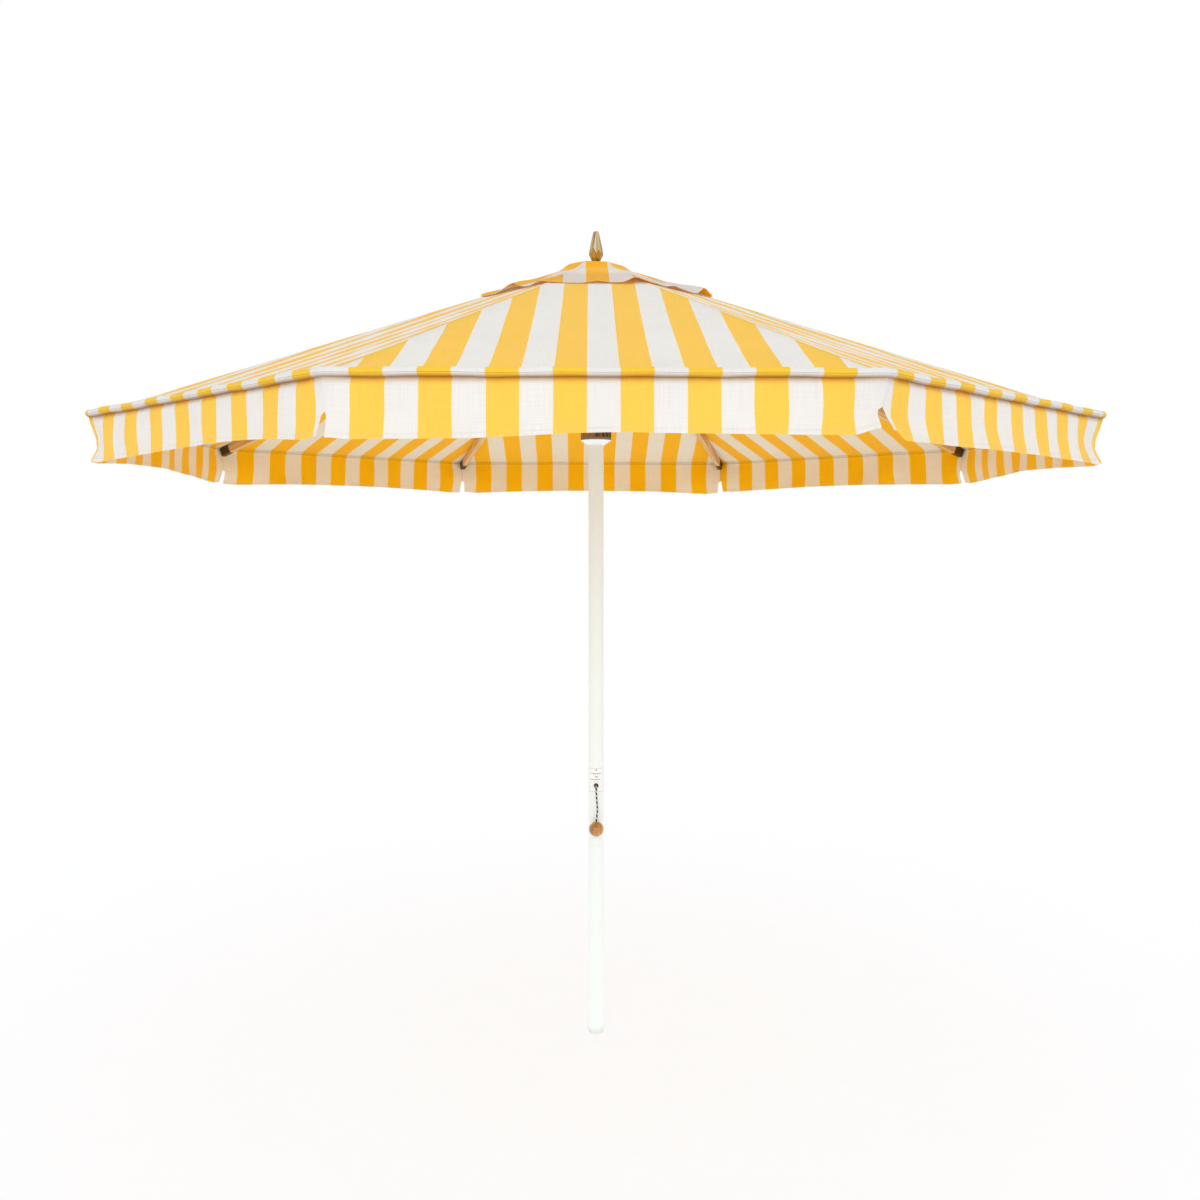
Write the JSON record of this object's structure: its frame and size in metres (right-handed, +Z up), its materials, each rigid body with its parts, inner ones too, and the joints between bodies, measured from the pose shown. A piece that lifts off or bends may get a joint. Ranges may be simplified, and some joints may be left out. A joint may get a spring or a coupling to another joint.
{
  "type": "beach umbrella",
  "caption": "Eight-sided garden and beach parasol with a round pole, folding wooden ribs and struts, striped canopy with hanging valance, vent cap, finial and a pull cord with a wooden ball.",
  "frame": {"origin": "centre of the pole's lower end", "axes": "+Z up along the pole, -Y to the front, where the pull cord hangs and a flat side of the octagon faces"},
  "size_m": [3.2336, 3.2336, 3.003],
  "materials": {
    "white_pole": "satin white powder coat",
    "foot_plastic": "matte",
    "inner_metal": "plain",
    "dark_wood": "varnished",
    "black_eyelet": "satin",
    "label_film": "matte film",
    "spring_steel": "bright",
    "release_cord": "braided",
    "braided_cord": "two-colour braid",
    "varnished_ball": "glossy varnish",
    "pin_steel": "plain",
    "finial_bronze": "satin varnish",
    "cap_fabric": "woven, striped",
    "grey_metal": "satin",
    "white_plastic": "satin",
    "rib_wood": "satin varnish",
    "strut_wood": "satin varnish",
    "bronze_fittings": "dark bronze",
    "canopy_fabric": "woven, striped",
    "valance_fabric": "woven, striped"
  },
  "bodies": {
    "pole": {"foot_cap": "foot_plastic", "lower_pole": "white_pole", "upper_pole": "white_pole", "pole_joint_sleeve": "inner_metal", "pole_top_plug": "dark_wood", "cord_eyelet": "black_eyelet", "pole_label": "label_film", "catch_spring": "spring_steel", "top_hub": "dark_wood", "hub_pins": "pin_steel", "finial": "finial_bronze", "finial_stud": "pin_steel", "vent_cap": "cap_fabric"},
    "pull": {"release_line": "release_cord", "pull_cord": "braided_cord", "pull_ball": "varnished_ball"},
    "runner": {"runner_body": "dark_wood", "runner_ring": "grey_metal", "runner_bush": "white_plastic", "runner_pins": "pin_steel"},
    "rib_1": {"rib_1": "rib_wood", "rib_fittings_1": "bronze_fittings", "canopy_1": "canopy_fabric"},
    "strut_1": {"strut_1": "strut_wood"},
    "valance_1": {"valance_1": "valance_fabric"},
    "rib_2": {"rib_2": "rib_wood", "rib_fittings_2": "bronze_fittings", "canopy_2": "canopy_fabric"},
    "strut_2": {"strut_2": "strut_wood"},
    "valance_2": {"valance_2": "valance_fabric"},
    "rib_3": {"rib_3": "rib_wood", "rib_fittings_3": "bronze_fittings", "canopy_3": "canopy_fabric"},
    "strut_3": {"strut_3": "strut_wood"},
    "valance_3": {"valance_3": "valance_fabric"},
    "rib_4": {"rib_4": "rib_wood", "rib_fittings_4": "bronze_fittings", "canopy_4": "canopy_fabric"},
    "strut_4": {"strut_4": "strut_wood"},
    "valance_4": {"valance_4": "valance_fabric"},
    "rib_5": {"rib_5": "rib_wood", "rib_fittings_5": "bronze_fittings", "canopy_5": "canopy_fabric"},
    "strut_5": {"strut_5": "strut_wood"},
    "valance_5": {"valance_5": "valance_fabric"},
    "rib_6": {"rib_6": "rib_wood", "rib_fittings_6": "bronze_fittings", "canopy_6": "canopy_fabric"},
    "strut_6": {"strut_6": "strut_wood"},
    "valance_6": {"valance_6": "valance_fabric"},
    "rib_7": {"rib_7": "rib_wood", "rib_fittings_7": "bronze_fittings", "canopy_7": "canopy_fabric"},
    "strut_7": {"strut_7": "strut_wood"},
    "valance_7": {"valance_7": "valance_fabric"},
    "rib_8": {"rib_8": "rib_wood", "rib_fittings_8": "bronze_fittings", "canopy_8": "canopy_fabric"},
    "strut_8": {"strut_8": "strut_wood"},
    "valance_8": {"valance_8": "valance_fabric"}
  },
  "joints": [
    {"name": "canopy_fold", "type": "hinge", "parent": "pole", "child": "rib_1", "pos_m": [0.0425, 0.0176, 2.84399], "axis": [-0.3827, 0.9239, 0], "range_deg": [0, 66.5], "deforming": ["canopy_1", "canopy_2", "canopy_3", "canopy_4", "canopy_5", "canopy_6", "canopy_7", "canopy_8", "valance_1", "valance_2", "valance_3", "valance_4", "valance_5", "valance_6", "valance_7", "valance_8", "vent_cap", "catch_spring"]},
    {"name": "strut_1_pivot", "type": "hinge", "parent": "rib_1", "child": "strut_1", "pos_m": [0.69696, 0.28869, 2.5499], "axis": [-0.3827, 0.9239, 0], "range_deg": [-133, 0]},
    {"name": "valance_1_hang", "type": "hinge", "parent": "rib_1", "child": "valance_1", "pos_m": [1.61494, 0.66893, 2.2355], "axis": [-0.3827, 0.9239, 0], "range_deg": [-66.5, 0]},
    {"name": "rib_2_fold", "type": "hinge", "parent": "pole", "child": "rib_2", "pos_m": [0.0176, 0.0425, 2.84399], "axis": [-0.9239, 0.3827, 0], "range_deg": [0, 66.5]},
    {"name": "strut_2_pivot", "type": "hinge", "parent": "rib_2", "child": "strut_2", "pos_m": [0.28869, 0.69696, 2.5499], "axis": [-0.9239, 0.3827, 0], "range_deg": [-133, 0]},
    {"name": "valance_2_hang", "type": "hinge", "parent": "rib_2", "child": "valance_2", "pos_m": [0.66893, 1.61494, 2.2355], "axis": [-0.9239, 0.3827, 0], "range_deg": [-66.5, 0]},
    {"name": "rib_3_fold", "type": "hinge", "parent": "pole", "child": "rib_3", "pos_m": [-0.0176, 0.0425, 2.84399], "axis": [-0.9239, -0.3827, 0], "range_deg": [0, 66.5]},
    {"name": "strut_3_pivot", "type": "hinge", "parent": "rib_3", "child": "strut_3", "pos_m": [-0.28869, 0.69696, 2.5499], "axis": [-0.9239, -0.3827, 0], "range_deg": [-133, 0]},
    {"name": "valance_3_hang", "type": "hinge", "parent": "rib_3", "child": "valance_3", "pos_m": [-0.66893, 1.61494, 2.2355], "axis": [-0.9239, -0.3827, 0], "range_deg": [-66.5, 0]},
    {"name": "rib_4_fold", "type": "hinge", "parent": "pole", "child": "rib_4", "pos_m": [-0.0425, 0.0176, 2.84399], "axis": [-0.3827, -0.9239, 0], "range_deg": [0, 66.5]},
    {"name": "strut_4_pivot", "type": "hinge", "parent": "rib_4", "child": "strut_4", "pos_m": [-0.69696, 0.28869, 2.5499], "axis": [-0.3827, -0.9239, 0], "range_deg": [-133, 0]},
    {"name": "valance_4_hang", "type": "hinge", "parent": "rib_4", "child": "valance_4", "pos_m": [-1.61494, 0.66893, 2.2355], "axis": [-0.3827, -0.9239, 0], "range_deg": [-66.5, 0]},
    {"name": "rib_5_fold", "type": "hinge", "parent": "pole", "child": "rib_5", "pos_m": [-0.0425, -0.0176, 2.84399], "axis": [0.3827, -0.9239, 0], "range_deg": [0, 66.5]},
    {"name": "strut_5_pivot", "type": "hinge", "parent": "rib_5", "child": "strut_5", "pos_m": [-0.69696, -0.28869, 2.5499], "axis": [0.3827, -0.9239, 0], "range_deg": [-133, 0]},
    {"name": "valance_5_hang", "type": "hinge", "parent": "rib_5", "child": "valance_5", "pos_m": [-1.61494, -0.66893, 2.2355], "axis": [0.3827, -0.9239, 0], "range_deg": [-66.5, 0]},
    {"name": "rib_6_fold", "type": "hinge", "parent": "pole", "child": "rib_6", "pos_m": [-0.0176, -0.0425, 2.84399], "axis": [0.9239, -0.3827, 0], "range_deg": [0, 66.5]},
    {"name": "strut_6_pivot", "type": "hinge", "parent": "rib_6", "child": "strut_6", "pos_m": [-0.28869, -0.69696, 2.5499], "axis": [0.9239, -0.3827, 0], "range_deg": [-133, 0]},
    {"name": "valance_6_hang", "type": "hinge", "parent": "rib_6", "child": "valance_6", "pos_m": [-0.66893, -1.61494, 2.2355], "axis": [0.9239, -0.3827, 0], "range_deg": [-66.5, 0]},
    {"name": "rib_7_fold", "type": "hinge", "parent": "pole", "child": "rib_7", "pos_m": [0.0176, -0.0425, 2.84399], "axis": [0.9239, 0.3827, 0], "range_deg": [0, 66.5]},
    {"name": "strut_7_pivot", "type": "hinge", "parent": "rib_7", "child": "strut_7", "pos_m": [0.28869, -0.69696, 2.5499], "axis": [0.9239, 0.3827, 0], "range_deg": [-133, 0]},
    {"name": "valance_7_hang", "type": "hinge", "parent": "rib_7", "child": "valance_7", "pos_m": [0.66893, -1.61494, 2.2355], "axis": [0.9239, 0.3827, 0], "range_deg": [-66.5, 0]},
    {"name": "rib_8_fold", "type": "hinge", "parent": "pole", "child": "rib_8", "pos_m": [0.0425, -0.0176, 2.84399], "axis": [0.3827, 0.9239, 0], "range_deg": [0, 66.5]},
    {"name": "strut_8_pivot", "type": "hinge", "parent": "rib_8", "child": "strut_8", "pos_m": [0.69696, -0.28869, 2.5499], "axis": [0.3827, 0.9239, 0], "range_deg": [-133, 0]},
    {"name": "valance_8_hang", "type": "hinge", "parent": "rib_8", "child": "valance_8", "pos_m": [1.61494, -0.66893, 2.2355], "axis": [0.3827, 0.9239, 0], "range_deg": [-66.5, 0]},
    {"name": "runner_slide_pivot", "type": "hinge", "parent": "strut_1", "child": "runner", "pos_m": [0.0425, 0.0176, 2.25581], "axis": [-0.3827, 0.9239, 0], "range_deg": [0, 66.5]},
    {"name": "pull_release", "type": "slide", "parent": "pole", "child": "pull", "axis": [0, 0, -1], "range_m": [0, 0.012], "stiffness_N_per_m": 300, "springref_m": -0.01, "deforming": ["pull_cord"]}
  ],
  "couplings": [
    {"joint": "strut_1_pivot", "follows": "canopy_fold", "ratio": -2},
    {"joint": "valance_1_hang", "follows": "canopy_fold", "ratio": -1},
    {"joint": "rib_2_fold", "follows": "canopy_fold", "ratio": 1},
    {"joint": "strut_2_pivot", "follows": "canopy_fold", "ratio": -2},
    {"joint": "valance_2_hang", "follows": "canopy_fold", "ratio": -1},
    {"joint": "rib_3_fold", "follows": "canopy_fold", "ratio": 1},
    {"joint": "strut_3_pivot", "follows": "canopy_fold", "ratio": -2},
    {"joint": "valance_3_hang", "follows": "canopy_fold", "ratio": -1},
    {"joint": "rib_4_fold", "follows": "canopy_fold", "ratio": 1},
    {"joint": "strut_4_pivot", "follows": "canopy_fold", "ratio": -2},
    {"joint": "valance_4_hang", "follows": "canopy_fold", "ratio": -1},
    {"joint": "rib_5_fold", "follows": "canopy_fold", "ratio": 1},
    {"joint": "strut_5_pivot", "follows": "canopy_fold", "ratio": -2},
    {"joint": "valance_5_hang", "follows": "canopy_fold", "ratio": -1},
    {"joint": "rib_6_fold", "follows": "canopy_fold", "ratio": 1},
    {"joint": "strut_6_pivot", "follows": "canopy_fold", "ratio": -2},
    {"joint": "valance_6_hang", "follows": "canopy_fold", "ratio": -1},
    {"joint": "rib_7_fold", "follows": "canopy_fold", "ratio": 1},
    {"joint": "strut_7_pivot", "follows": "canopy_fold", "ratio": -2},
    {"joint": "valance_7_hang", "follows": "canopy_fold", "ratio": -1},
    {"joint": "rib_8_fold", "follows": "canopy_fold", "ratio": 1},
    {"joint": "strut_8_pivot", "follows": "canopy_fold", "ratio": -2},
    {"joint": "valance_8_hang", "follows": "canopy_fold", "ratio": -1},
    {"joint": "runner_slide_pivot", "follows": "canopy_fold", "ratio": 1}
  ]
}
